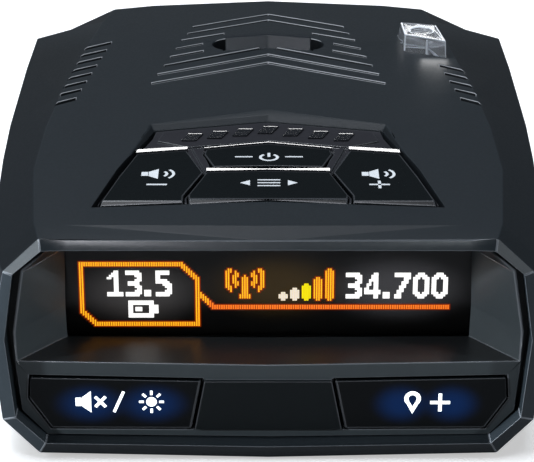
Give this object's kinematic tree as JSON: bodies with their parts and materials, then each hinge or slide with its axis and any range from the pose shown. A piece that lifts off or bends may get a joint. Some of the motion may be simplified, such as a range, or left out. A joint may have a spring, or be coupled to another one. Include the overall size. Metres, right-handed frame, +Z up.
{
  "type": "radar detector",
  "caption": "Windshield radar detector: faceted case, recessed dot-matrix display, two front keys, top keypad, bracket release bar and clear rear laser lens.",
  "frame": {"origin": "middle of the underside's bounding rectangle, on the surface it rests on", "axes": "+X to the driver's right, +Y towards the windshield, +Z up; the display faces -Y"},
  "size_m": [0.0758, 0.108, 0.0352],
  "materials": {
    "case": "fine matte texture",
    "bezel": "satin painted",
    "fascia": "satin",
    "accent": "satin teal-grey",
    "front_key": "gloss with translucent legends",
    "top_key": "satin black with white legends",
    "release": "fine matte texture",
    "window": "smoked acrylic",
    "display": "dot matrix panel",
    "inner_plastic": "moulded",
    "board": "solder mask",
    "metal": "tinned",
    "steel": "plated",
    "led": "white package",
    "flex": "polyimide film",
    "clear_lens": "clear acrylic",
    "ir_window": "infrared-pass acrylic",
    "sensor": "tinted epoxy",
    "chip": "moulded package",
    "casting": "die cast",
    "ceramic_patch": "fired",
    "capacitor": "sleeved",
    "speaker_metal": "pressed",
    "paper": "treated paper",
    "foam": "closed-cell foam"
  },
  "bodies": {
    "housing": {"top_cover": "case", "bottom_cover": "case", "front_bezel": "bezel", "display_fascia": "fascia", "center_panel": "accent", "front_switch_board": "board", "front_switches": "metal", "front_key_lights": "led", "display_window": "window", "display_module": "display", "display_frame": "inner_plastic", "display_flex": "flex", "keypad_trim": "fascia", "keypad_board": "board", "keypad_switches": "metal", "keypad_posts": "inner_plastic", "keypad_flex": "flex", "bracket_socket": "inner_plastic", "release_springs": "steel", "release_guide": "inner_plastic", "rear_laser_lens": "clear_lens", "rear_laser_sensor": "sensor", "front_laser_window": "ir_window", "front_laser_sensors": "sensor", "main_board": "board", "board_screws": "steel", "case_screws": "steel", "processor": "chip", "processor_shield": "metal", "horn_antenna": "casting", "mixer_board": "board", "mixer_cover": "metal", "gps_antenna": "ceramic_patch", "backup_capacitor": "capacitor", "speaker_basket": "speaker_metal", "speaker_cone": "paper", "speaker_magnet": "steel", "speaker_gasket": "foam", "power_jack": "inner_plastic", "usb_port": "metal", "audio_jack": "inner_plastic"},
    "mute_button": {"mute_button": "front_key"},
    "mark_button": {"mark_button": "front_key"},
    "volume_down_key": {"volume_down_button": "top_key"},
    "volume_up_key": {"volume_up_button": "top_key"},
    "power_key": {"power_button": "top_key"},
    "menu_key": {"menu_button": "top_key"},
    "release": {"release_button": "release", "latch_plate": "metal"}
  },
  "joints": [
    {"name": "mute_press", "type": "slide", "parent": "housing", "child": "mute_button", "axis": [0, 1, 0], "range_m": [0, 0.0006], "stiffness_N_per_m": 900, "springref_m": -0.0006},
    {"name": "mark_press", "type": "slide", "parent": "housing", "child": "mark_button", "axis": [0, 1, 0], "range_m": [0, 0.0006], "stiffness_N_per_m": 900, "springref_m": -0.0006},
    {"name": "volume_down_press", "type": "slide", "parent": "housing", "child": "volume_down_key", "axis": [0, 0, -1], "range_m": [0, 0.0006], "stiffness_N_per_m": 900, "springref_m": -0.0006},
    {"name": "volume_up_press", "type": "slide", "parent": "housing", "child": "volume_up_key", "axis": [0, 0, -1], "range_m": [0, 0.0006], "stiffness_N_per_m": 900, "springref_m": -0.0006},
    {"name": "power_press", "type": "slide", "parent": "housing", "child": "power_key", "axis": [0, 0, -1], "range_m": [0, 0.0006], "stiffness_N_per_m": 900, "springref_m": -0.0006},
    {"name": "menu_press", "type": "slide", "parent": "housing", "child": "menu_key", "axis": [0, 0, -1], "range_m": [0, 0.0006], "stiffness_N_per_m": 900, "springref_m": -0.0006},
    {"name": "bracket_release", "type": "slide", "parent": "housing", "child": "release", "axis": [0, 0, -1], "range_m": [0, 0.0015], "stiffness_N_per_m": 1200, "springref_m": -0.001, "deforming": ["release_springs"]}
  ]
}
